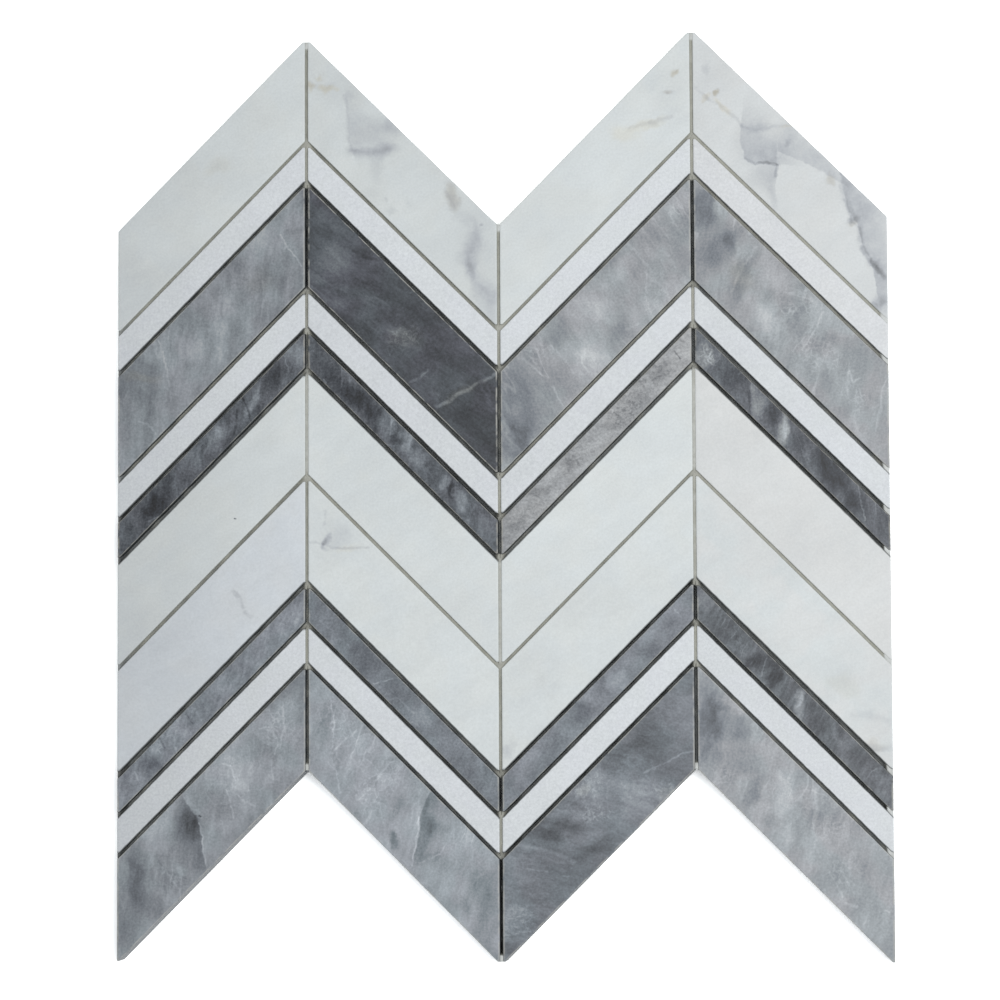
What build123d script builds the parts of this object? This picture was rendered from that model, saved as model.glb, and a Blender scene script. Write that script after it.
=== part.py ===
import os
from math import cos, floor, radians, tan

from build123d import *

# A mosaic sheet of leaning marble chips, laid as a chevron on a glass-fibre mesh.
# Millimetres. The sheet lies face up on its mesh, +Y runs up the sheet and +X to its right.
# The origin is the centre of the sheet on the surface that the mesh rests on.

# Chips
columns = 4              # side by side, leaning by turns to the right and to the left
lean_angle = 45.0        # slope of the chips' long edges, in degrees
chip_width = 66.5        # across a column, from one sawn end to the other
large_strip = 25.4       # width of the large strips, square to their long edges
thin_strip = 9.0         # width of the thin strips, square to their long edges
chip_thickness = 9.5
joint_width = 1.0        # open joint, square to the edges, along and between the columns
arris = 0.3              # small chamfer that eases the edges of a chip's face
tip_flat = 0.8           # flat across each sharp tip, where the point is broken off

# Mesh
mesh_opening = 4.0       # least clear gap between neighbouring yarns
yarn_width = 0.8
yarn_thickness = 0.25
mesh_setback = 1.5       # the mesh is trimmed this far inside the zigzag ends of the stone

# Rows from the top of the sheet to its bottom
rows = [
    ("white_chip", large_strip),
    ("thin_white_chip", thin_strip),
    ("grey_chip", large_strip),
    ("thin_white_chip", thin_strip),
    ("thin_dark_chip", thin_strip),
    ("white_chip", large_strip),
    ("white_chip", large_strip),
    ("thin_grey_chip", thin_strip),
    ("thin_white_chip", thin_strip),
    ("grey_chip", large_strip),
]

# Sizes that follow from the ones above
slope = tan(radians(lean_angle))
plumb = 1 / cos(radians(lean_angle))     # turns a width square to the lean into a height along Y
pitch = chip_width + joint_width
sheet_width = columns * pitch - joint_width
rise = chip_width * slope                # height that a chip gains across its column
stack = plumb * (sum(strip for name, strip in rows) + joint_width * (len(rows) - 1))
top_of_low_end = (stack - rise) / 2      # top of a column at its low end, with the sheet centred

# The long yarns lie evenly under each column, and the outer ones edge the sides of the mesh.
# The outer cross yarns lie where the points of the mesh are just wide enough to tie two long yarns.
mesh_thickness = 2 * yarn_thickness
least_pitch = mesh_opening + yarn_width
long_count = columns * floor(pitch / least_pitch)
long_pitch = columns * pitch / long_count
mesh_width = (long_count - 1) * long_pitch + yarn_width
mesh_length = stack + rise + slope * joint_width - 2 * mesh_setback * plumb
cross_span = mesh_length - slope * (long_pitch + yarn_width) - yarn_width
cross_count = floor(cross_span / least_pitch) + 1
cross_pitch = cross_span / (cross_count - 1)


def chip(strip, low_end, leans_right):
    """One leaning chip: its upper edge starts at low_end, at the low side of its column."""
    height = strip * plumb
    low = low_end - height
    tip = tip_flat * slope
    outline = [
        (0, low + tip),
        (tip_flat, low + tip),
        (chip_width, low + rise),
        (chip_width, low_end + rise - tip),
        (chip_width - tip_flat, low_end + rise - tip),
        (0, low_end),
    ]
    side = 1 if leans_right else -1
    points = [(side * (x - chip_width / 2), y) for x, y in outline]
    block = extrude(make_face(Polyline(*points, close=True)), chip_thickness, dir=(0, 0, 1))
    face_edges = block.faces().sort_by(Axis.Z)[-1].edges()
    return chamfer(face_edges, arris)


def mesh_outline():
    """The sheet's zigzag outline, drawn in by the setback at its ends and to the mesh's width."""
    half = mesh_width / 2
    corner_x = [-half] + [pitch * (i - columns / 2) for i in range(1, columns)] + [half]
    spare = slope * joint_width / 2      # the zigzag runs on to the middle of each joint
    heights = [rise + spare if i % 2 else -spare for i in range(columns + 1)]
    heights[0] = slope * (sheet_width - mesh_width) / 2
    heights[-1] = rise - heights[0] if columns % 2 else heights[0]
    inset = mesh_setback * plumb
    top = [(x, top_of_low_end + h - inset) for x, h in zip(corner_x, heights)]
    bottom = [(x, top_of_low_end - stack + h + inset) for x, h in zip(corner_x, heights)]
    return make_face(Polyline(*top, *reversed(bottom), close=True))


def yarns(count, spacing, length, turn):
    """Straight yarns side by side, set out evenly to both sides of the middle."""
    line = Box(yarn_width, length, yarn_thickness, align=(Align.CENTER, Align.CENTER, Align.MIN))
    places = GridLocations(spacing, 0, count, 1)
    return [Rot(0, 0, turn) * place * line for place in places]


def layer(lines, height):
    """One layer of yarns, trimmed to the mesh's outline and laid at its height."""
    trim = extrude(mesh_outline(), yarn_thickness, dir=(0, 0, 1))
    shortest = long_pitch                # a shorter offcut ties no two yarns and falls away
    kept = []
    for line in lines:
        for piece in (line & trim).solids():
            if max(piece.bounding_box().size.X, piece.bounding_box().size.Y) >= shortest:
                kept.append(Pos(0, 0, height) * piece)
    return Compound(children=kept)


os.makedirs("parts", exist_ok=True)

# Chips, row by row, standing on the mesh
low_end = top_of_low_end
for row, (name, strip) in enumerate(rows, start=1):
    for column in range(columns):
        place = Pos(pitch * (column - (columns - 1) / 2), 0, mesh_thickness)
        stone = place * chip(strip, low_end, leans_right=column % 2 == 0)
        export_step(stone, f"parts/{name}_row{row:02d}_col{column + 1}.step")
    low_end -= plumb * (strip + joint_width)

# Backing mesh: long yarns underneath, cross yarns on top of them and under the stone
long_yarns = layer(yarns(long_count, long_pitch, mesh_length, 0), 0)
cross_yarns = layer(yarns(cross_count, cross_pitch, mesh_width, 90), yarn_thickness)
export_step(long_yarns, "parts/mesh_long_yarns.step")
export_step(cross_yarns, "parts/mesh_cross_yarns.step")
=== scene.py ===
import bpy
import numpy as np
from mathutils import Matrix, Vector


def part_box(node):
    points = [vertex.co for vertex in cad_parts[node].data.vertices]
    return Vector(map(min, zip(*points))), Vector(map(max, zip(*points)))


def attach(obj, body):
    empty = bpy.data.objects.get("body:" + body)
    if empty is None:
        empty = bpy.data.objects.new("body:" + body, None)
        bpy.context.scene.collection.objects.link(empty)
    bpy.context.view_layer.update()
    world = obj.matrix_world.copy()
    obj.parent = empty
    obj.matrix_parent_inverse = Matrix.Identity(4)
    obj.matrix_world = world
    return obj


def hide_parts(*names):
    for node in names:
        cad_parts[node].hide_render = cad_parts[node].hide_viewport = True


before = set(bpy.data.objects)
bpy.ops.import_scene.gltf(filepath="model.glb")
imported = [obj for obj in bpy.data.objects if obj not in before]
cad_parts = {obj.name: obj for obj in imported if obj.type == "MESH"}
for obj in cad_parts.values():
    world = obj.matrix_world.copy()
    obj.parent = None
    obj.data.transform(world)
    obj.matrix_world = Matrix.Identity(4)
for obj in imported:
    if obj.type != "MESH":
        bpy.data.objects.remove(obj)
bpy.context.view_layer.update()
mm = 0.001                   # the frame is in metres, lengths below are in millimetres
print("frame loaded,", len(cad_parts), "nodes")

# Rows of the sheet, from the top
rowNames = [
    "white_chip", "thin_white_chip", "grey_chip", "thin_white_chip", "thin_dark_chip",
    "white_chip", "white_chip", "thin_grey_chip", "thin_white_chip", "grey_chip",
]
rowCount = len(rowNames)
paleJoints = (1, 6)          # under these rows white meets white and the resin stands high
columnCount = 4


def chipNode(row, column):
    return f"{rowNames[row - 1]}_row{row:02d}_col{column}"


def nodeBox(name):
    low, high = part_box(name)
    return np.array(low) / mm, np.array(high) / mm


screenGamma = 2.2            # turns a tone or a tint of screen levels into a linear value


def seen(red, green, blue):
    # a colour as it shows on a screen, 0 to 255, as linear values for a shader
    level = np.array([red, green, blue]) / 255
    linear = np.where(level <= 0.04045, level / 12.92, ((level + 0.055) / 1.055) ** 2.4)
    return tuple(float(value) for value in linear) + (1.0,)


# Shader maths

class Shade:
    # wraps one socket of a material: operators on values add Math nodes

    def __init__(self, tree, socket=None):
        self.tree = tree
        self.socket = socket

    def node(self, kind, settings=None, inputs=None, output=0):
        made = self.tree.nodes.new("ShaderNode" + kind)
        for name, value in (settings or {}).items():
            setattr(made, name, value)
        for key, value in (inputs or {}).items():
            if isinstance(value, Shade):
                self.tree.links.new(value.socket, made.inputs[key])
            else:
                made.inputs[key].default_value = value
        return Shade(self.tree, made.outputs[output])

    def maths(self, operation, first, second=0.0):
        return self.node("Math", {"operation": operation}, {0: first, 1: second})

    def __add__(self, other):
        return self.maths("ADD", self, other)

    def __sub__(self, other):
        return self.maths("SUBTRACT", self, other)

    def __rsub__(self, other):
        return self.maths("SUBTRACT", other, self)

    def __mul__(self, other):
        return self.maths("MULTIPLY", self, other)

    def __truediv__(self, other):
        return self.maths("DIVIDE", self, other)

    def __pow__(self, other):
        return self.maths("POWER", self, other)

    __radd__ = __add__
    __rmul__ = __mul__


def vectorMaths(operation, first, second):
    return first.node("VectorMath", {"operation": operation}, {0: first, 1: second})


def stretched(place, factor):
    return place.node("VectorMath", {"operation": "SCALE"}, {0: place, "Scale": factor})


def lengthOf(place):
    return place.node("VectorMath", {"operation": "LENGTH"}, {0: place}, "Value")


def smooth(value, low, high):
    # 0 at low, 1 at high, an S-curve between
    span = {"From Min": low, "From Max": high}
    return value.node("MapRange", {"interpolation_type": "SMOOTHSTEP"}, {"Value": value, **span})


def noise(place, size, detail=3.0, roughness=0.5, output="Fac"):
    # cloudy values about 0.5, size in millimetres
    inputs = {"Vector": place, "Scale": 1 / size, "Detail": detail, "Roughness": roughness}
    return place.node("TexNoise", {"noise_dimensions": "3D"}, inputs, output)


def warped(place, size, reach, detail=2.0):
    # the place pushed about by noise of one size, up to reach
    push = vectorMaths("SUBTRACT", noise(place, size, detail, 0.5, "Color"), (0.5, 0.5, 0.5))
    return vectorMaths("ADD", place, stretched(push, 2 * reach))


def turned(place, centre, turn, size):
    # the place in the own axes of something turned by degrees about its centre
    inputs = {"Vector": place, "Location": (*centre, 0), "Rotation": (0, 0, np.radians(turn)), "Scale": size}
    return place.node("Mapping", {"vector_type": "TEXTURE"}, inputs)


def coloured(factor, first, second, mode="MIX"):
    # from the first colour at 0 to the second at 1; the first colour or the factor is a Shade
    shade = first if isinstance(first, Shade) else factor
    settings = {"data_type": "RGBA", "blend_type": mode}
    return shade.node("Mix", settings, {0: factor, 6: first, 7: second}, 2)


def attribute(shade, name):
    return shade.node("Attribute", {"attribute_name": name}, {}, "Fac")


def tinted(levels):
    # a tint of screen levels, as linear values for a shader
    return tuple(level ** screenGamma for level in levels) + (1.0,)


def newMaterial(name):
    material = bpy.data.materials.new(name)
    material.use_nodes = True
    tree = material.node_tree
    shade = Shade(tree)
    metres = shade.node("TexCoord", {}, {}, "Object")
    return material, stretched(metres, 1 / mm), tree.nodes["Principled BSDF"]


def plug(value, socket):
    value.tree.links.new(value.socket, socket)


# Camera

camera = {
    "place": (134.6, -81.9, 1246.3),
    "aim": (0.2, -1.5, 10.0),
    "up": (0.0046, 1.0, 0.0),
    "lens": 129.6,
}


def makeCamera():
    data = bpy.data.cameras.new("camera")
    data.lens = camera["lens"]
    data.sensor_width = 36
    data.clip_end = 20
    made = bpy.data.objects.new("camera", data)
    back = (Vector(camera["place"]) - Vector(camera["aim"])).normalized()
    right = Vector(camera["up"]).cross(back).normalized()
    turn = Matrix((right, back.cross(right), back)).transposed()
    made.matrix_world = Matrix.Translation(Vector(camera["place"]) * mm) @ turn.to_4x4()
    bpy.context.collection.objects.link(made)
    bpy.context.scene.camera = made


# Light and floor

studio = {
    "keyPlace": (380, 40, 850),
    "keySize": 0.55,
    "keyPower": 4.45,
    "skyLevel": 0.5,
    "skyColour": (0.96, 0.985, 1.0, 1.0),
    "floorSize": 6.0,
    "floorWhite": 2.4,       # the floor as the camera sees it
    "floorBounce": 0.75,     # the floor as it lights the stone
}


def shownRays(shade):
    # 1 on the rays that show a backdrop: straight to the camera, mirrored or through glass
    path = shade.node("LightPath")
    outputs = path.socket.node.outputs
    glossy = Shade(shade.tree, outputs["Is Glossy Ray"])
    through = Shade(shade.tree, outputs["Is Transmission Ray"])
    return path.maths("MAXIMUM", path.maths("MAXIMUM", path, glossy), through)


def makeStudio():
    lamp = bpy.data.lights.new("key", "AREA")
    lamp.energy = studio["keyPower"]
    lamp.size = studio["keySize"]
    key = bpy.data.objects.new("key", lamp)
    key.location = Vector(studio["keyPlace"]) * mm
    key.rotation_euler = key.location.to_track_quat("Z", "Y").to_euler()
    bpy.context.collection.objects.link(key)

    world = bpy.data.worlds.new("sky")
    world.use_nodes = True
    bpy.context.scene.world = world
    sky = Shade(world.node_tree)
    lighting = sky.node("Background", {}, {"Color": studio["skyColour"], "Strength": studio["skyLevel"]})
    backdrop = sky.node("Background", {}, {"Color": (1, 1, 1, 1), "Strength": 1.0})
    both = sky.node("MixShader", {}, {0: shownRays(sky), 1: lighting, 2: backdrop})
    plug(both, world.node_tree.nodes["World Output"].inputs["Surface"])

    half = studio["floorSize"] / 2
    corners = [(-half, -half, 0), (half, -half, 0), (half, half, 0), (-half, half, 0)]
    mesh = bpy.data.meshes.new("floor")
    mesh.from_pydata(corners, [], [(0, 1, 2, 3)])
    floor = bpy.data.objects.new("floor", mesh)
    bpy.context.collection.objects.link(floor)
    material = bpy.data.materials.new("paleFloor")
    material.use_nodes = True
    shade = Shade(material.node_tree)
    white = studio["floorWhite"]
    bounce = studio["floorBounce"]
    seenFloor = shade.node("BsdfDiffuse", {}, {"Color": (white, white, white, 1)})
    bounceFloor = shade.node("BsdfDiffuse", {}, {"Color": (bounce, bounce, bounce, 1)})
    both = shade.node("MixShader", {}, {0: shownRays(shade), 1: bounceFloor, 2: seenFloor})
    plug(both, material.node_tree.nodes["Material Output"].inputs["Surface"])
    mesh.materials.append(material)


# Meshes

def ringFaces(ringCount, around):
    # quads between neighbouring closed rings, and fans that close both ends on a pole
    ring = np.arange(ringCount - 1)[:, None] * around
    here = np.arange(around)[None, :]
    there = (here + 1) % around
    quads = np.stack([ring + here, ring + there, ring + around + there, ring + around + here], -1)
    low = ringCount * around
    last = (ringCount - 1) * around
    here, there = here[0], there[0]
    bottom = np.stack([np.full(around, low), there, here], -1)
    top = np.stack([np.full(around, low + 1), last + here, last + there], -1)
    return quads.reshape(-1, 4), np.concatenate([bottom, top])


def makePiece(name, points, quads, tris, material, values=None):
    mesh = bpy.data.meshes.new(name)
    corners = np.concatenate([quads.ravel(), tris.ravel()]).astype(np.int32)
    starts = np.concatenate([4 * np.arange(len(quads)), 4 * len(quads) + 3 * np.arange(len(tris))])
    mesh.vertices.add(len(points))
    mesh.loops.add(len(corners))
    mesh.polygons.add(len(starts))
    mesh.vertices.foreach_set("co", (points * mm).astype(np.float32).ravel())
    mesh.loops.foreach_set("vertex_index", corners)
    mesh.polygons.foreach_set("loop_start", starts.astype(np.int32))
    mesh.polygons.foreach_set("use_smooth", np.ones(len(starts), bool))
    mesh.update(calc_edges=True)
    for label, level in (values or {}).items():
        mesh.attributes.new(label, "FLOAT", "POINT").data.foreach_set("value", level.astype(np.float32))
    mesh.materials.append(material)
    piece = bpy.data.objects.new(name, mesh)
    bpy.context.collection.objects.link(piece)
    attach(piece, "root")
    return piece


def ripple(along, length, wave, rng):
    # a sum of three sines that closes on itself over the length, about -1 to 1
    cycles = np.maximum(1, np.round(length / wave * np.array([0.7, 1.0, 1.6])))
    phase = rng.uniform(0, 2 * np.pi, 3)
    return np.sin(2 * np.pi * cycles * along[:, None] / length + phase).sum(1) / 3


# Stone chips

chipShape = {
    "lean": 1.0,             # rise of the long edges over their run
    "tipFlat": 0.8,          # flat across each sharp tip
    "arris": 0.3,            # rounding of the edges of the face
    "arrisVaries": 0.07,
    "arrisWave": 5,
    "sawWander": 0.05,       # how far the sawn edges stray from straight
    "sawWave": 30,
    "step": 0.6,             # spacing of points along the edges
    "backEdge": 0.15,        # rounding of the edges of the back
    "innerRing": 0.985,      # a last ring that keeps the face flat up to its arris
    "whitePaintedShade": (1, 1, 0.9, 0.6),      # how far a deep joint's painted shade spreads up the arris
    "greyPaintedShade": (1, 0.85, 0.3, 0),
    "setBacks": {            # chips sawn a little narrow: how far their upper edge stands back
        (2, 2): 0.1, (3, 2): 0.1, (4, 1): 0.12, (4, 2): 0.1, (5, 2): 0.2, (5, 4): 0.2, (6, 1): 0.35,
        (6, 2): 0.15, (6, 3): 0.15, (7, 1): 0.22, (7, 2): 0.1, (8, 1): 0.3, (8, 2): 0.15, (8, 4): 0.25,
    },
}


def setBack(row, column):
    # the set-back of a chip's upper edge, measured along y
    return chipShape["setBacks"].get((row, column), 0) * np.hypot(1, chipShape["lean"])


def chipCorners(row, column):
    # the six corners of a leaning chip, anticlockwise, worked out from its box:
    # a parallelogram as wide as the box, with its two sharp tips cut flat
    low, high = nodeBox(chipNode(row, column))
    high[1] -= setBack(row, column)
    width = high[0] - low[0]
    tip = chipShape["tipFlat"]
    drop = tip * chipShape["lean"]
    rise = width * chipShape["lean"]
    corners = np.array([
        (0, low[1]),
        (tip, low[1]),
        (width, low[1] - drop + rise),
        (width, high[1]),
        (width - tip, high[1]),
        (0, high[1] + drop - rise),
    ])
    if column % 2 == 0:
        corners[:, 0] = width - corners[:, 0]
        corners = corners[::-1]
    corners[:, 0] += low[0]
    return corners, low[2], high[2]


def paintedShadeEdges(row, column):
    # 1 for each of the six edges that faces a deep joint, whose shade is painted on the chip, in the order
    # of the corners
    upper = row > 1 and row - 1 not in paleJoints
    lower = row < rowCount and row not in paleJoints
    grey = "white" not in rowNames[row - 1]
    left = grey and column > 1
    right = grey and column < columnCount
    if column % 2:
        return np.array([lower, lower, right, upper, upper, left], float)
    return np.array([upper, upper, left, lower, lower, right], float)


def makeChip(row, column, material):
    # the outline is walked edge by edge, and each ring is the outline moved inwards along the
    # mitre of its corners: underside, back edge, sawn side, quarter-round arris, flat face
    name = chipNode(row, column)
    rng = np.random.default_rng(100 * row + column)
    corners, bottom, top = chipCorners(row, column)
    after = np.roll(corners, -1, 0)
    lengths = np.linalg.norm(after - corners, axis=1)
    along = (after - corners) / lengths[:, None]
    inward = np.stack([-along[:, 1], along[:, 0]], 1)
    before = np.roll(inward, 1, 0)
    mitre = (inward + before) / (1 + (inward * before).sum(1))[:, None]

    counts = np.maximum(3, np.round(lengths / chipShape["step"]).astype(int))
    edge = np.repeat(np.arange(6), counts)
    share = (np.arange(len(edge)) - np.repeat(np.cumsum(counts) - counts, counts)) / counts[edge]
    walked = (np.cumsum(lengths) - lengths)[edge] + share * lengths[edge]
    share = share[:, None]
    line = corners[edge] * (1 - share) + after[edge] * share
    inner = mitre[edge] * (1 - share) + np.roll(mitre, -1, 0)[edge] * share
    total = lengths.sum()

    wander = chipShape["sawWander"] * (1 + ripple(walked, total, chipShape["sawWave"], rng)) / 2
    uneven = ripple(walked, total, chipShape["arrisWave"], rng)
    arris = chipShape["arris"] + chipShape["arrisVaries"] * uneven
    level = np.ones_like(walked)
    back = chipShape["backEdge"]
    rings = [                # inset, height, how far it is sawn side, arris and painted joint shade
        (wander + 2 * back, bottom * level, 1, 0, 0),
        (wander + back, bottom * level, 1, 0, 0),
        (wander, (bottom + back) * level, 1, 0, 0.5),
        (wander, top - 3 * arris, 1, 0, 1),
    ]
    # painted shade: the dark of the deep joints is painted on the sides and arrises of the chips beside them
    paintedJointShade = paintedShadeEdges(row, column)[edge]
    fade = chipShape["whitePaintedShade" if "white" in name else "greyPaintedShade"]
    for turn, spread in zip(np.radians([0, 30, 60, 90]), fade):
        inset = wander + arris * (1 - np.cos(turn))
        height = top - arris * (1 - np.sin(turn))
        rings.append((inset, height, (1 - np.sin(turn)) ** 2, np.sin(turn), spread))
    points = [np.column_stack([line + inner * inset[:, None], height]) for inset, height, *rest in rings]
    middle = corners.mean(0)
    poles = np.array([(*middle, bottom), (*middle, top)])
    points.append(poles[1] + (points[-1] - poles[1]) * chipShape["innerRing"])
    rings.append((None, None, 0, 0, 0))
    around = len(line)
    quads, tris = ringFaces(len(rings), around)
    values = {
        "sawn": np.concatenate([np.full(around, ring[2]) for ring in rings] + [[1, 0]]),
        "arris": np.concatenate([np.full(around, ring[3]) for ring in rings] + [[0, 0]]),
        "paintedJointShade": np.concatenate([ring[4] * paintedJointShade for ring in rings] + [[0, 0]]),
    }
    piece = makePiece(name + "_stone", np.concatenate(points + [poles]), quads, tris, material, values)
    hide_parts(name)
    return piece


# Marble. Tones are screen levels, 0 to 255, and a change adds to the tone around it.
# A cloud is (size, change) and a streak (angle, stretch, change). Grain, lines and wisps are changes.
# The depth scales a chip's patches, the rim is where they end and where they are full,
# and patches that are drawn follow the streaks.

stones = {
    "white_chip": {
        "slot": "white_marble", "tone": 213, "rough": 0.46, "cloudDetail": 4.0, "drawn": False,
        "tint": (0.98, 1.0, 0.998), "otherTint": (0.976, 1.0, 1.004), "darkTint": (0.972, 0.994, 1.022),
        "lightTint": (0.98, 1.0, 1.0),
        "cloud": (22, 10), "streak": (35, 4, 6), "grain": 10, "lines": 0, "wisps": 0,
        "depth": 1.5, "rim": (1.3, 0.0),
        "arrisWearAndHighlightShare": 0.1, "arrisWearAndHighlightColour": seen(205, 206, 202), "sawnColour": seen(196, 196, 188),
    },
    "thin_white_chip": {
        "slot": "crystalline_white_marble", "tone": 217, "rough": 0.42, "cloudDetail": 4.0, "drawn": False,
        "tint": (0.982, 1.0, 1.012), "otherTint": (0.984, 1.0, 1.018), "darkTint": (0.97, 0.99, 1.03),
        "lightTint": (0.984, 1.0, 1.01),
        "cloud": (14, 6), "streak": (35, 2, 3), "grain": 19, "lines": 0, "wisps": 0,
        "depth": 1.0, "rim": (1.3, 0.0),
        "arrisWearAndHighlightShare": 0.1, "arrisWearAndHighlightColour": seen(214, 214, 210), "sawnColour": seen(200, 200, 192),
    },
    "grey_chip": {
        "slot": "grey_marble", "tone": 150, "rough": 0.44, "cloudDetail": 1.5, "drawn": True,
        "tint": (0.955, 1.0, 1.035), "otherTint": (0.972, 0.998, 1.038), "darkTint": (0.953, 0.994, 1.05),
        "lightTint": (0.982, 1.0, 1.012),
        "cloud": (15, 37), "streak": (80, 4, 30), "grain": 24, "lines": 13, "wisps": 14,
        "depth": 1.5, "rim": (1.2, 0.15),
        "arrisWearAndHighlightShare": 0.6, "arrisWearAndHighlightColour": seen(190, 189, 182), "sawnColour": seen(120, 122, 122),
    },
    "thin_grey_chip": {
        "slot": "grey_marble", "tone": 128, "rough": 0.44, "cloudDetail": 1.5, "drawn": True,
        "tint": (0.95, 1.0, 1.048), "otherTint": (0.966, 0.998, 1.052), "darkTint": (0.945, 0.99, 1.065),
        "lightTint": (0.966, 1.0, 1.032),
        "cloud": (10, 30), "streak": (80, 3, 30), "grain": 30, "lines": 18, "wisps": 10,
        "depth": 1.6, "rim": (1.12, 0.3),
        "arrisWearAndHighlightShare": 0.7, "arrisWearAndHighlightColour": seen(182, 181, 174), "sawnColour": seen(104, 106, 106),
    },
    "thin_dark_chip": {
        "slot": "dark_grey_marble", "tone": 92, "rough": 0.42, "cloudDetail": 1.5, "drawn": True,
        "tint": (0.945, 0.998, 1.058), "otherTint": (0.962, 0.996, 1.062), "darkTint": (0.925, 0.985, 1.09),
        "lightTint": (0.955, 1.0, 1.045),
        "cloud": (9, 30), "streak": (80, 3, 40), "grain": 36, "lines": 22, "wisps": 12,
        "depth": 1.8, "rim": (1.12, 0.3),
        "arrisWearAndHighlightShare": 0.75, "arrisWearAndHighlightColour": seen(166, 164, 156), "sawnColour": seen(76, 77, 78),
    },
}
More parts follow.
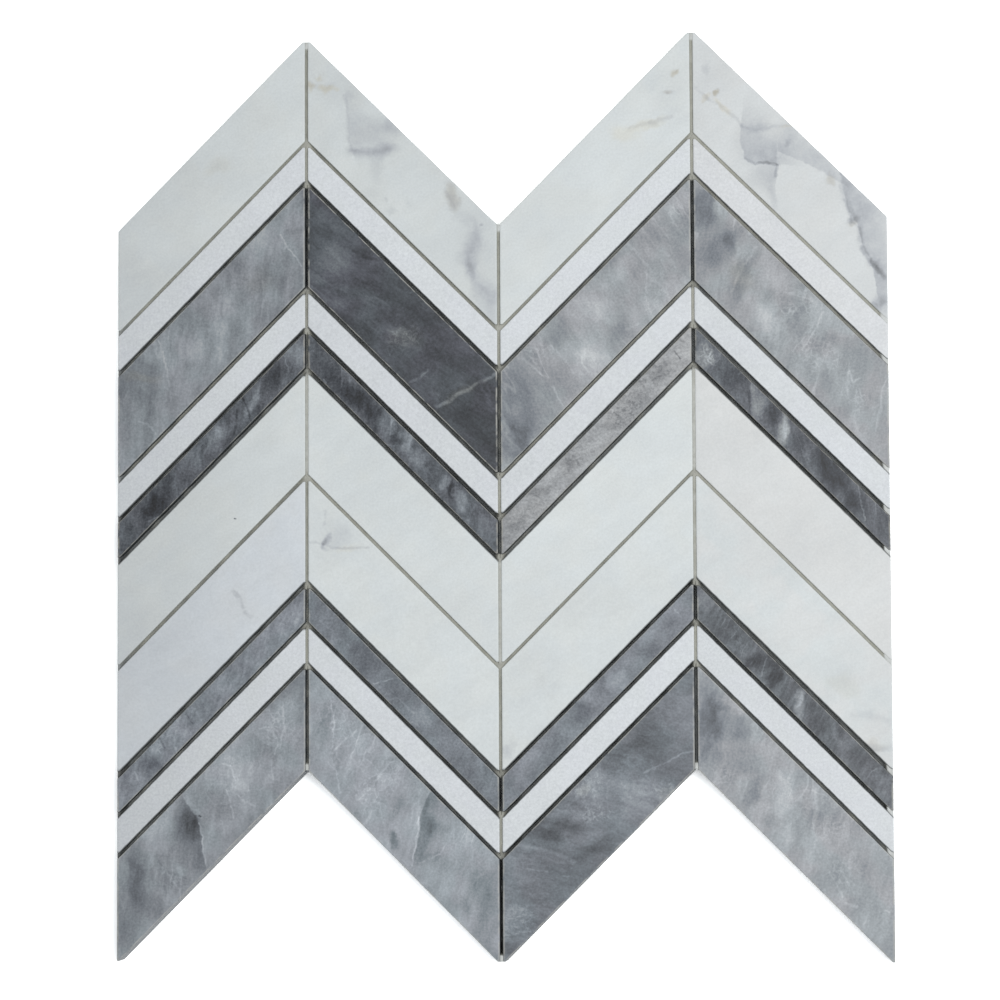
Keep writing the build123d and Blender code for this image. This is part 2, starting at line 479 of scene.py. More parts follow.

# What shows on single chips, in sheet millimetres:
# patches are (x, y, half length, half width, turn, change of tone), warm ones end in a strength,
# veins are (points, half width, change), flecks, crackle and breccia are patches with a pattern in them,
# shades are (points, reach, change): a change that starts sharply on the left of a line and fades out,
# and edge is painted shade: how much the tone falls towards the left edge of the sheet, where the light
# falls off
looks = {
    # the white chips of the left column have lower tones than the rest: painted shade of the light falling
    # off to the left
    (1, 1): {
        "tone": 214, "patches": [(-98.5, 117, 5, 3, 20, -4)],
        "warm": [(-98.5, 117, 7, 4, 20, 0.15)], "edge": 13,
    },
    (1, 2): {
        "tone": 216,
        "patches": [
            (-56, 144, 14, 8, -45, -5), (-44, 128, 11, 7, 0, -12), (-36.5, 129.5, 4.5, 4, 0, -9),
            (-50.5, 122, 3.4, 2, 0, -16), (-46.5, 120.2, 3.2, 2.2, 10, -14), (-41, 121.6, 6, 3.8, 8, -24),
            (-43, 116.5, 3, 6, 0, -8), (-16.4, 105, 6.4, 2.6, -62, -18), (-13, 98, 5, 4, -45, -6),
            (-6.3, 95.5, 0.9, 0.7, 0, -16), (-9, 92, 3, 6, 0, -10), (-9.5, 84, 4, 7, 0, -14),
            (-9, 78, 3.2, 5, 0, -17), (-4, 71, 7, 4.4, -30, -13), (-2.5, 64.5, 4, 6, 0, -10),
            (-6, 84, 9, 18, 0, -7), (-40, 104, 1, 1.6, 0, -11), (-38.6, 99.5, 1.8, 1.6, 0, -9),
            (-31, 103, 1.6, 3, 0, -4), (-45, 107, 3, 3, 0, -4), (-61, 144.5, 5, 2.4, 0, -6),
            (-66, 144.5, 2.6, 2, 0, -11), (-62.5, 148, 2, 1.6, 0, -6), (-48.5, 121.8, 3, 2, 0, -9),
        ],
        "shades": [([(-53.6, 139), (-53, 131), (-53, 125.5), (-51.5, 121.5)], 8, -11)],
        "veins": [
            ([(-54, 141), (-52.7, 136.5), (-53, 131), (-53, 126), (-51.5, 122)], 1.0, -10),
            ([(-19, 107), (-15.3, 101.2)], 1.0, -10),
            ([(-8, 96), (-7.5, 90), (-10, 84), (-9, 76), (-4, 71)], 1.4, -7),
        ],
        "warm": [
            (-60, 144.2, 3.4, 2, 0, 0.5), (-66, 144.5, 2.4, 1.8, 0, 0.55), (-56.5, 143.5, 1.6, 1.2, 0, 0.3),
            (-62.5, 148, 1.4, 1.2, 0, 0.35), (-16.4, 105, 6, 2.6, -62, 0.3),
        ],
    },
    (1, 3): {
        "tone": 220,
        "patches": [
            (60, 138, 8, 16, 40, -5), (59.5, 139.7, 2, 1.4, 0, -14), (61, 147.4, 1.9, 1.3, 0, -14),
            (55, 129.6, 3.4, 1.2, 12, -9),
        ],
        "veins": [([(46, 127.4), (49.7, 128.4), (55.3, 129.6), (60.8, 130.9)], 1.1, -12)],
        "warm": [
            (61, 147.4, 1.9, 1.3, 0, 0.6), (59.5, 139.7, 2, 1.4, 0, 0.3), (43.8, 126.1, 6, 4, 0, 0.25),
            (53, 129, 9, 2, 12, 0.3),
        ],
    },
    (1, 4): {
        "tone": 214, "depth": 1.9, "tint": (0.988, 1.0, 1.0), "otherTint": (0.984, 1.0, 1.004),
        "patches": [
            (72.4, 148, 1.4, 2.8, 0, -9), (76.9, 137.3, 1.4, 1.4, 0, -13), (73.2, 136.5, 1.8, 1.3, 0, -5),
            (90, 121, 9, 9, 0, -9), (91, 125.8, 6, 2, 5, -7), (102, 124, 7, 5, -35, -9),
            (110, 117, 9, 4, -43, -7), (101, 121.5, 1.6, 1.0, 20, -10), (91, 109, 5, 5, 0, -5),
            (95.6, 103, 2.0, 8, 0, -6), (122.5, 94, 2.6, 2.4, 0, -25), (121, 97.5, 1.4, 3.4, 5, -10),
            (125.6, 88, 1.7, 3.8, 0, -14), (131, 78, 3.5, 3, -30, -14), (131, 64, 4, 4.5, 0, -18),
            (116.5, 108, 3, 1.6, -40, -8), (127, 99, 7, 6, -40, -7),
        ],
        "shades": [
            ([(84.6, 128.5), (84, 122), (85.6, 116), (89.5, 114), (97, 113.3)], 11, -17),
            ([(96.8, 107), (97, 113.5), (97.3, 118), (107, 113.6), (117.5, 107.5)], 8, -18),
            ([(118.6, 110), (121, 97), (124.5, 91.5), (125.8, 85), (128.5, 80), (130, 72)], 16, -28),
        ],
        "veins": [
            ([(69, 141), (73.5, 136.5), (77, 135), (80, 132.5), (83, 130), (84.8, 127.4)], 0.9, -13),
            ([(84.6, 127), (88, 126), (92, 125.6), (96, 126.8), (101, 127)], 0.8, -9),
            ([(86, 115.6), (89.5, 113.8), (93.5, 114.4), (97, 113.2)], 0.8, -34),
            ([(96.9, 113.3), (96.4, 109.5)], 0.9, -26),
            ([(118.8, 106), (121, 97.5), (122.5, 93), (125.2, 90.5), (126.3, 86)], 0.8, -14),
            ([(126, 84), (128, 80.6), (130.6, 77), (133.6, 73.8)], 1.4, -40),
            ([(129, 65), (132.2, 62.3)], 0.9, -16),
        ],
        "warm": [
            (73.2, 136.8, 2.4, 1.6, 0, 0.35), (76.9, 137.3, 1.3, 1.3, 0, 0.7),
            (79, 133.6, 4, 1.3, -38, 0.35), (116.5, 108, 3, 1.4, -40, 0.3),
            (122.5, 92.5, 2.5, 1.5, 0, 0.25), (100, 126.8, 3, 1, 0, 0.25),
        ],
    },
    (2, 1): {"tone": 215, "edge": 10}, (2, 2): {"tone": 221}, (2, 3): {"tone": 220},
    (2, 4): {"tone": 216, "tint": (0.99, 1.0, 1.008), "otherTint": (0.99, 1.0, 1.012)},
    (3, 1): {
        "tone": 140, "streak": (86, 5, 40),
        "patches": [
            (-98, 63, 5, 15, 0, 19), (-98, 50, 5, 5, 0, 9), (-84, 85, 3, 10, 0, 6), (-72, 99, 6, 5, 45, 18),
            (-118, 53, 4, 4, 0, -7), (-106, 66, 4, 5, 0, 7), (-85, 64, 5, 5, 0, -5),
            (-112, 63, 3, 12, 0, 4), (-74, 75, 7, 6, 45, -13), (-81, 79, 6, 8, 0, -8),
            (-127, 37, 5, 9, 10, -10), (-122, 47, 6, 5, 0, -8), (-112, 46, 6, 6, 0, -4),
            (-121, 27, 5, 8, 30, -6), (-72, 88, 5, 5, 0, 9),
        ],
        "veins": [
            ([(-76.6, 92.3), (-74.3, 88.3), (-71.6, 85.2), (-69.3, 81)], 0.5, 24),
            ([(-120, 56), (-118.4, 51), (-117, 45), (-115.5, 35)], 0.6, 18),
            ([(-127, 27.5), (-123.5, 26.5), (-121, 23)], 0.5, 16), ([(-92, 89), (-86.5, 88)], 0.6, 10),
        ],
        "warm": [(-126, 43, 9, 2.5, -5, 0.25), (-84, 76, 7, 5, 0, 0.12)],
    },
    (3, 2): {
        "tone": 73, "streak": (-35, 3, 26), "cloud": (14, 34), "lines": 18,
        "tint": (0.938, 0.998, 1.065), "otherTint": (0.962, 0.99, 1.08), "darkTint": (0.93, 0.99, 1.08),
        "lightTint": (0.955, 1.0, 1.045), "arrisWearAndHighlightShare": 0.75,
        "patches": [
            (-61, 97, 5, 5, 0, 12), (-58, 84, 13, 10, -40, 16), (-32, 54.5, 9, 5.5, -10, 8),
            (-36.5, 58, 4, 2, 10, 8), (-46, 68, 8, 6, -40, 6), (-22, 35, 5, 4, 0, 7),
            (-43, 79, 6, 4, -30, 9), (-61, 75, 6, 5, -45, 6), (-24, 60, 6, 5, -45, -5),
            (-38, 63, 6, 4, 0, -8), (-28, 44, 6, 5, 0, -3), (-55, 68, 5, 3.5, -45, 10),
            (-9, 31, 8, 9, 0, -11), (-50, 64, 5, 4, -45, 7), (-20, 52, 7, 6, -45, -6),
            (-45, 74, 8, 5, -45, -5),
        ],
        "veins": [
            ([(-54, 87.5), (-47.5, 84.3), (-42, 82.4)], 0.9, -16), ([(-64, 79), (-58, 75)], 1.0, -10),
            (
                [(-22, 31.4), (-17, 33.2), (-14.2, 35.4), (-11, 36.4), (-8, 39), (-4.5, 40.2), (-0.5, 42.8)],
                1.1, 42,
            ),
            ([(-22, 31.4), (-14.2, 35.4), (-11, 36.4), (-4.5, 40.2), (-0.5, 42.8)], 2.0, 4),
            ([(-31, 40), (-28, 41), (-24.6, 44.3)], 0.7, 26),
            ([(-39.5, 58.5), (-36, 57), (-34.5, 58.5)], 0.6, 14), ([(-39, 52), (-38, 49.5)], 0.4, 18),
        ],
        "flecks": [(-20, 34, 7, 4.5, 27, 20), (-33, 55, 8, 5, 0, 26), (-27, 42, 5, 3, 30, 14)],
        "warm": [(-33, 55.5, 8, 5, -10, 0.25), (-12, 36, 12, 2, 27, 0.35)],
    },
    (3, 3): {
        "tone": 157, "streak": (118, 3, 20), "cloud": (14, 38), "wisps": 18, "depth": 2.15,
        "tint": (0.965, 1.0, 1.022), "otherTint": (0.984, 0.997, 1.022),
        "patches": [
            (6, 29, 10, 18, 15, -19), (31, 64, 13, 11, 40, 6), (63, 92, 7, 10, 10, -4),
            (42, 57, 5.5, 4.5, 0, -8), (20, 55, 7, 4.5, 40, -5), (32, 46, 9, 7, 45, 15),
            (31, 66, 9, 6, 40, 6), (6, 18, 6, 8, 0, -17), (17, 42, 5, 5, 0, -6), (18, 36, 6, 8, 10, -6),
            (62, 79, 9, 7, 30, -8), (50, 80, 8, 6, 0, -6),
        ],
        "veins": [
            ([(45, 87), (48.5, 83.5), (52, 79)], 0.9, 16), ([(56, 104), (60, 100), (63, 97)], 0.6, 14),
            ([(50, 92), (55, 86)], 0.6, 10), ([(53, 97), (60, 88)], 0.6, 10),
            ([(58, 99), (64, 90)], 0.6, 10), ([(18, 52), (23, 47), (26, 42)], 0.7, 12),
            ([(10.5, 48.5), (13, 45.5), (15, 41.5)], 0.5, 18),
            ([(19, 37.5), (20.3, 34), (22, 31)], 0.5, 18), ([(44.5, 57), (49, 59)], 0.6, 16),
            ([(52, 76), (51, 69), (53, 63)], 0.5, 12), ([(4, 49), (9, 50.5), (14, 50)], 0.5, 14),
        ],
        "crackle": [(13, 49, 7, 5, 20, 18), (54, 70, 6, 12, 0, 10), (62, 97, 6, 8, 0, 12)],
    },
    (3, 4): {
        "tone": 157, "streak": (75, 3, 22), "cloud": (14, 32), "wisps": 18, "depth": 2.15,
        "breccia": [(110, 52, 26, 15, -45, 6)],
        "tint": (0.965, 1.0, 1.022), "otherTint": (0.986, 0.997, 1.02),
        "patches": [
            (71, 99, 6, 11, 0, -24), (82, 89, 5, 5, -20, -7), (112, 50, 5, 5, -45, -5),
            (80.8, 86.5, 2.2, 5.5, 5, -12), (75, 84, 8, 11, -20, -11), (85, 78, 4, 8, -35, -11),
            (104, 64, 8, 5, 15, -6), (97, 73, 8, 6, -45, 8), (92, 59, 9, 6, -45, 14),
            (120, 43, 10, 12, -45, -9), (82, 70, 4, 4, 0, -7), (129, 30, 6, 8, 0, -5),
        ],
        "veins": [
            ([(89.5, 85), (86.5, 81), (84, 76.5), (81, 70)], 0.9, 15),
            ([(101, 69), (106, 67), (110, 65)], 0.5, 16), ([(112.5, 62), (109, 55), (105, 49)], 0.5, 16),
            ([(121, 41.5), (122.5, 38), (124.5, 39)], 0.6, 22), ([(121, 44), (120.5, 34)], 0.5, 14),
            ([(98, 63), (101, 60)], 0.5, 16), ([(101, 48), (106, 54)], 0.4, 14),
        ],
        "crackle": [
            (105, 66, 11, 8, 10, 20), (109, 47, 14, 11, -40, 20), (122, 34, 8, 9, 0, 14),
            (127, 26, 7, 12, 0, 10),
        ],
        "warm": [(84, 75, 5, 7, 0, 0.2)],
    },
    (4, 1): {"tone": 213, "edge": 11}, (4, 2): {"tone": 216},
    (4, 3): {"tone": 216, "patches": [(8, 9, 13, 5, 45, -5)]}, (4, 4): {"tone": 214},
    (5, 1): {
        "tone": 86, "streak": (82, 3, 40), "lines": 25,
        "patches": [
            (-79, 43, 6, 5, 45, -16), (-70.5, 50.5, 4, 6, 0, 20), (-100, 21, 9, 5, 45, 20),
            (-87, 34.5, 2, 8, -15, 21), (-121, -2, 8, 5, 45, -24), (-108, 13, 7, 5, 45, 10),
            (-131, -12, 5, 5, 0, -3), (-127, -7, 4, 3, 45, 6), (-103.5, 18, 1.4, 5, -5, -14),
            (-116, 6, 1.6, 6, 5, -14),
        ],
        "veins": [
            ([(-90.5, 35.5), (-88.6, 32), (-87, 27.5)], 0.6, -36), ([(-92, 31), (-93.2, 22.5)], 0.7, -26),
            ([(-75.5, 50), (-73.5, 44.5)], 0.4, 24), ([(-123.6, -7.6), (-120.5, -6)], 0.5, 34),
            ([(-114.5, 7), (-113, 1)], 0.5, 14),
        ],
    },
    (5, 2): {
        "tone": 90, "streak": (80, 3, 36), "lines": 25,
        "patches": [
            (-58, 44, 7, 6, -45, -12), (-49, 34, 10, 5, -45, -23), (-39.5, 26, 4, 5, -45, 14),
            (-32.5, 19, 2.4, 7, 0, 25), (-28, 14, 4, 4, -45, 15), (-18.5, 5, 2.4, 5, 0, 22),
            (-13, -2, 3, 5, 0, 25), (-5, -12, 7, 5, -45, 5), (-16, 1.5, 1.2, 5, 5, -22),
            (-36, 22, 1, 5, 0, -12),
        ],
        "veins": [
            ([(-54.8, 46), (-55, 41), (-55.6, 34.5)], 0.4, 30), ([(-54.5, 44.4), (-53.2, 43.6)], 0.4, 24),
            ([(-61.5, 41), (-60.4, 40.2)], 0.6, 34), ([(-38, 30), (-37.8, 22)], 0.5, 22),
            ([(-40, 18.5), (-36.5, 17.6)], 0.5, 20), ([(-14, -7.5), (-11, -8.5)], 0.6, 22),
        ],
    },
    (5, 3): {
        "tone": 159, "streak": (20, 3, 22), "cloud": (9, 20), "tint": (0.985, 1.0, 1.015),
        "lightTint": (0.985, 1.0, 1.0),
        "otherTint": (0.99, 1.0, 1.01), "darkTint": (0.98, 0.996, 1.02),
        "patches": [
            (14, 1, 6, 2, 20, -13), (56, 40, 4, 3, 20, -8), (19, 4, 5, 3, 45, -6), (40, 25, 5, 4, 45, -5),
            (5, -9, 5, 5, 45, -8), (24, 12, 4.5, 2, -60, -12), (3, -15, 5, 2, 15, -10),
        ],
        "veins": [
            ([(25.5, 13.6), (27.8, 10.3)], 0.6, -30), ([(61, 49.4), (62.8, 46.5)], 0.5, -44),
            ([(63, 53.5), (65.5, 51.5)], 0.5, -22), ([(12, 0.5), (15, -2)], 0.6, -20),
            ([(40, 28.5), (43, 26)], 0.5, -24),
        ],
        "flecks": [
            (44, 30, 12, 7, 45, -28), (55, 41, 9, 6, 45, -22), (28, 14, 8, 5, 45, -14),
            (8, -8, 8, 5, 45, -18),
        ],
    },
    (5, 4): {
        "tone": 94, "streak": (97, 4, 36), "lines": 30, "depth": 2.2, "lightTint": (0.968, 1.0, 1.022),
        "patches": [
            (71.5, 48, 5, 6, 0, 21), (82, 39.5, 5, 6, -45, -12), (89.6, 32, 2.6, 9, 0, 12),
            (94, 27, 2.4, 6, 0, -8), (97.8, 21, 2.8, 8, 0, 30), (110, 11, 4, 5, -45, -9),
            (126, -6, 3, 4, 0, -6), (104, 16, 4, 5, 0, -5), (116, 7, 9, 6, -45, -20),
            (131, -12, 5, 7, 0, -2), (122, -2, 5, 5, -45, -15),
        ],
        "veins": [
            ([(123.4, 4), (124.6, -3), (125.8, -10)], 0.4, 44), ([(129.8, -2), (129.4, -9)], 0.4, 26),
            ([(83, 41), (85.5, 42)], 0.6, 24), ([(74, 50), (72.5, 46), (75, 44)], 0.4, 26),
            ([(120, 1), (117.5, -4)], 0.4, 20), ([(103, 20), (106, 10)], 0.4, 14),
        ],
        "shades": [([(86.8, 41), (87, 27)], 5, 24)],
        "crackle": [(73, 48, 6, 5, -45, 30), (106, 13, 5, 7, 0, 16)],
    },
    (6, 1): {"tone": 212, "edge": 15, "patches": [(-93.8, -7, 0.55, 0.45, 0, -85), (-76, -13, 4, 3, 0, -5)]},
    (6, 2): {"tone": 220}, (6, 3): {"tone": 221},
    (6, 4): {"tone": 215, "tint": (0.993, 1.0, 0.998), "otherTint": (0.99, 1.0, 1.0)},
    (7, 1): {
        "tone": 211, "edge": 15, "tint": (0.98, 1.0, 1.016), "otherTint": (0.976, 1.0, 1.022),
        "veins": [
            ([(-93.6, -32.3), (-91, -35), (-89.8, -38)], 1.2, -20),
            ([(-89, -39.8), (-87.4, -41)], 1.2, -20),
        ],
    },
    (7, 2): {
        "tone": 221,
        "patches": [(-60.4, -15, 1.2, 2.8, -5, -34), (-57, -12, 6, 6, 0, -7)],
        "veins": [
            ([(-60.9, -4.6), (-61.4, -9.4)], 0.7, -12),
            ([(-66.3, -15.5), (-62, -16), (-57.5, -17.4), (-46, -17.6)], 0.7, -16),
        ],
        "warm": [(-54, -17.4, 6, 2, 0, 0.18)],
    },
    (7, 3): {"tone": 219, "patches": [(3, -87, 2.2, 4.5, -25, -12), (17, -66, 6, 5, 0, -3)]},
    (7, 4): {
        "tone": 216, "tint": (0.988, 1.0, 1.0),
        "patches": [(127, -77, 10, 2.4, -8, -7), (129, -87, 6, 2, -5, -17), (118, -65, 6, 5, 0, -4)],
        "warm": [(128, -86.5, 6, 2.5, 0, 0.2), (118, -66, 7, 5, 0, 0.15)],
    },
    (8, 1): {
        "tone": 132, "streak": (72, 3, 24), "lines": 27,
        "patches": [
            (-116, -83, 6, 4, 45, -3), (-123, -92, 6, 4, 45, -13), (-80, -49, 7, 5, 45, 6),
            (-94, -63, 7, 4, 45, 7), (-110, -78, 4, 4, 45, -5), (-130, -99, 5, 5, 0, -5),
            (-73, -41, 5, 5, 45, 4),
        ],
        "veins": [
            ([(-120, -82), (-117.5, -86.5)], 0.6, -24), ([(-114.5, -83), (-113.5, -88)], 0.6, 26),
            ([(-107, -73), (-104.5, -77)], 0.5, 18), ([(-128, -95), (-126.5, -99)], 0.5, 22),
            ([(-110.5, -73.5), (-108, -78)], 0.5, -22),
        ],
        "crackle": [(-117, -85, 9, 7, 45, 18), (-106, -75, 7, 5, 45, 14), (-74, -42, 6, 5, 45, 12)],
    },
    (8, 2): {
        "tone": 122, "streak": (70, 3, 26), "tint": (0.942, 1.0, 1.05), "otherTint": (0.958, 1.0, 1.055),
        "patches": [
            (-48, -57, 10, 5, -45, -10), (-28, -76, 7, 4, -45, 9), (-21, -83, 5, 5, -45, 8),
            (-6, -100, 5, 5, -45, 0), (-60, -43, 6, 5, -45, 2),
        ],
        "veins": [
            ([(-44.4, -64.6), (-41, -64), (-37.4, -63)], 0.45, 36),
            ([(-62.5, -43.4), (-58.4, -46.5)], 0.6, 14),
            ([(-57.5, -49.3), (-54.5, -49.6), (-52, -52)], 0.6, 14),
            ([(-40, -71), (-36, -69.5), (-30, -75)], 0.6, 14), ([(-31, -78), (-28.5, -79.5)], 0.5, 24),
        ],
    },
    (8, 3): {
        "tone": 130, "streak": (60, 3, 24), "wisps": 4, "lines": 8,
        "patches": [
            (62, -39.5, 6, 4, 45, 6), (28, -76, 6, 5, 45, -12), (40, -64, 5, 5, 45, 17),
            (51, -53, 6, 5, 45, -10), (10, -94, 5, 4, 45, -6), (17, -87, 8, 5, 45, -6),
            (5, -100, 6, 5, 45, -2),
        ],
        "veins": [([(60.5, -40), (62.5, -42)], 0.5, 18)],
    },
    (8, 4): {
        "tone": 98, "streak": (66, 4, 38), "depth": 2.4, "lines": 30,
        "patches": [
            (131, -97, 4, 3, 0, 5), (87, -59, 5, 4, -45, -4), (71, -37, 5, 5, 0, 8),
            (79, -48, 5, 6, -45, -8), (90, -58, 5, 5, -45, -14), (94.5, -63, 3, 7, -10, -19),
            (101, -70, 3, 5, 0, 7), (103, -73, 2, 7, 0, 22), (109, -78, 4, 7, 0, -9),
            (115.5, -84, 2, 7, 0, 8), (122, -91, 5, 5, -45, -3), (131, -100, 4, 6, 0, 6),
        ],
        "veins": [
            ([(91.8, -56.5), (90.6, -59), (90.2, -63)], 0.4, 36), ([(88, -56), (86.6, -59)], 0.35, 24),
            ([(82.5, -46), (79.5, -50)], 0.4, 22), ([(77.5, -43), (76, -46)], 0.4, 22),
            ([(129, -94.5), (127, -96), (125.3, -98)], 0.4, 30), ([(86, -50), (83, -56)], 0.35, 20),
        ],
        "crackle": [(82, -50, 9, 5, -45, 16)],
    },
    (9, 1): {"tone": 210, "edge": 14}, (9, 2): {"tone": 219}, (9, 3): {"tone": 219}, (9, 4): {"tone": 215},
    (10, 1): {
        "tone": 145, "streak": (84, 4, 24), "wisps": 16, "depth": 1.8, "lightTint": (0.972, 0.999, 1.026),
        "breccia": [(-92, -97, 36, 15, 45, 7)],
        "patches": [
            (-110.5, -113.5, 5.5, 6.5, 10, -27), (-107.5, -114, 3, 5, 10, -14), (-112, -121, 6, 6, 0, -10),
            (-127, -133, 4, 16, 5, -21), (-118, -126, 4, 5, 0, -8), (-122, -119, 2.4, 9, 12, 3),
            (-130, -147, 5, 11, 0, -10), (-118, -112, 5, 5, 0, 8), (-101, -112, 3, 8, 0, 8),
            (-88, -96, 13, 9, 45, 8), (-76, -77, 8, 10, 0, 10), (-115, -134, 5, 6, 30, -11),
            (-108, -128, 7, 3, -25, -4), (-121, -141, 6, 7, 40, -15), (-92, -111, 8, 6, 45, 12),
            (-74, -72, 6, 8, 0, 8),
        ],
        "shades": [
            ([(-103.3, -126), (-104.2, -121), (-104.8, -116), (-106.4, -110.5), (-109.5, -106)], 6, -34),
        ],
        "veins": [
            ([(-105.4, -113), (-104.4, -118), (-103.8, -124), (-103, -126.5)], 0.5, 22),
            ([(-105.4, -110.4), (-104.8, -110.7)], 0.5, -60),
            ([(-123, -122), (-121.5, -127), (-120, -133)], 1.2, 12),
            ([(-96, -101), (-94.5, -105), (-93, -111)], 0.5, 18),
            ([(-92, -103), (-89.5, -105.5), (-86, -107)], 0.5, 18),
            ([(-97, -92), (-94, -93), (-92.5, -98)], 0.5, 18), ([(-80, -91), (-79.5, -98)], 0.5, 16),
            ([(-119.5, -126), (-116, -129.5), (-110, -132)], 0.6, -14),
            ([(-118, -127), (-115, -132), (-112, -137)], 0.5, 12),
            ([(-84, -80), (-80, -79.5), (-77.5, -85), (-79, -89)], 0.6, 20),
            ([(-76, -71), (-75.5, -79), (-77, -87)], 0.6, 20),
        ],
        "crackle": [
            (-77, -78, 9, 12, 0, 20), (-92, -103, 9, 9, 0, 6), (-96, -92, 9, 5, 0, 6),
            (-113, -131, 7, 6, 0, 11),
        ],
    },
    (10, 2): {
        "tone": 158, "streak": (72, 4, 24), "wisps": 16, "depth": 1.8, "lines": 16,
        "darkTint": (0.932, 1.0, 1.045),
        "breccia": [(-46, -93, 30, 15, -45, 7)],
        "lightTint": (0.972, 0.999, 1.026),
        "patches": [
            (-26.5, -107, 1.6, 4, -15, -10), (-25.4, -113.5, 3.8, 6.5, -5, -21),
            (-21.5, -116, 4.5, 4, -20, -14), (-45, -95, 5, 4, -45, -6), (-38, -119, 2.2, 4.2, 15, -26),
            (-24, -124, 5, 2.6, 30, -8), (-8, -131, 5, 10, 0, -11), (-14, -121, 5, 6, 0, -6),
            (-5, -145, 6, 12, 0, -13), (-14, -142, 4, 7, 0, -13), (-52, -96, 12, 7, -45, 6),
            (-33, -112, 5, 7, -30, 4), (-62, -74, 7, 8, 0, -6), (-21, -133, 6, 6, -45, 10),
        ],
        "shades": [([(-25.8, -104.5), (-28.2, -110), (-28.6, -117), (-29.6, -122)], 7, -30)],
        "veins": [
            ([(-28.6, -110.5), (-28.9, -116), (-29.7, -121), (-31, -127.5)], 0.55, 32),
            ([(-28, -126.5), (-24.5, -125), (-21, -123), (-19, -120)], 0.6, 22),
            ([(-38, -92), (-41, -95), (-44.5, -100), (-49, -104.5)], 0.6, 18),
            ([(-60, -92), (-57.5, -95), (-56, -102)], 0.5, 18),
            ([(-58.5, -88.5), (-55, -85), (-50, -81)], 0.6, 18),
            ([(-59, -72), (-58, -79), (-59, -88)], 0.6, 20), ([(-8.5, -131.3), (-6.4, -130.6)], 0.7, 24),
            ([(-44, -100), (-42, -107), (-41, -113)], 0.5, 12),
        ],
        "crackle": [
            (-57, -77, 9, 12, 0, 20), (-45, -104, 9, 10, 0, 17), (-36, -97, 9, 7, 0, 14),
            (-18, -120, 7, 5, 0, 11),
        ],
    },
    (10, 3): {
        "tone": 119, "streak": (-12, 3, 24), "wisps": 10, "cloud": (15, 28), "depth": 1.8, "lines": 18,
        "breccia": [(30, -104, 30, 12, 45, 5)],
        "tint": (0.945, 1.0, 1.05), "otherTint": (0.966, 0.999, 1.052), "lightTint": (0.962, 1.0, 1.035),
        "patches": [
            (57, -102.5, 5, 3, 45, 12), (28, -101.5, 3, 2.4, 30, 10), (60, -75, 5, 6, 0, -5),
            (17, -115.5, 14, 4.5, 0, -16), (20, -116, 7, 4, 0, -8), (50, -84, 11, 8, 40, -13),
            (63, -68, 5, 7, 0, 6), (39, -93, 7, 5, 20, -12), (34, -121, 9, 4, 25, -14),
            (48, -105, 8, 8, 30, 11), (62, -83, 5, 6, 0, -3), (30, -103, 9, 7, 40, 12),
            (24, -131, 7, 4, 30, 4), (18, -123, 10, 4, -15, -7), (12, -139, 8, 3, -20, -4),
            (5, -145, 7, 5, 0, 8), (4, -156, 6, 4, 0, -8),
        ],
        "veins": [
            ([(49.5, -96), (54, -93.6), (59, -91.6), (62, -89.6), (66.5, -88.8)], 0.65, 27),
            ([(5, -120.4), (12, -121.8), (18, -123.2), (25, -126)], 1.3, 22),
            ([(0, -151.2), (6, -150.4), (11, -150)], 0.6, 20), ([(9, -128.6), (16, -129.6)], 0.5, 16),
            ([(21.6, -131), (23.6, -131)], 0.6, 18), ([(19.5, -108.4), (23, -109)], 0.8, 22),
            ([(25, -111.5), (29, -111.6)], 0.7, 18),
        ],
        "flecks": [
            (30, -101, 9, 5, 20, 26), (32, -110, 9, 4, 0, 30), (6, -146, 9, 7, 0, 19),
            (57, -102, 7, 5, 45, 28), (45, -103, 10, 7, 20, 14), (38, -94, 8, 5, 0, 9),
        ],
        "warm": [(28, -101.5, 3, 2.5, 0, 0.15), (57, -102.5, 5, 3, 45, 0.15)],
    },
    (10, 4): {
        "tone": 161, "streak": (75, 3, 26), "cloud": (16, 28), "wisps": 16, "depth": 2.4,
        "breccia": [(105, -110, 34, 14, -45, 5)],
        "tint": (0.965, 1.0, 1.025), "otherTint": (0.984, 0.997, 1.022),
        "patches": [
            (71, -78, 6, 18, 0, -17), (74, -72, 5, 6, 0, -12), (83, -81, 6, 5, -45, -6),
            (98, -118, 5, 5, 0, 7), (77, -78, 8, 8, -45, -9), (80, -94, 8, 7, -45, -8),
            (87, -102, 2.4, 7, -20, -9), (97, -102, 5, 13, -15, 8), (92, -113, 5, 4, 20, -5),
            (112, -111, 9, 6, -45, -7), (114, -123, 7, 7, 0, -6), (131, -128, 4, 9, 0, -4),
            (120, -136, 5, 8, 0, -2), (103, -124, 7, 5, -45, 3),
        ],
        "veins": [
            ([(77.5, -91.5), (75, -96), (73, -99.5)], 0.8, 14), ([(84, -72), (82, -80)], 0.8, 10),
            ([(91, -84), (87, -94)], 0.8, 9), ([(118, -140.5), (121.5, -141.5)], 0.9, 20),
            ([(105, -101.5), (112, -104)], 0.5, 12), ([(112, -113), (119, -113)], 0.5, 12),
            ([(112, -129), (117, -138)], 0.6, 10), ([(116, -128), (121, -137)], 0.6, 10),
            ([(131, -143), (132.5, -143.6)], 0.7, 20),
        ],
        "crackle": [(112, -113, 9, 8, -20, 16), (117, -132, 8, 10, 0, 18), (76, -97, 7, 6, -30, 20)],
    },
}

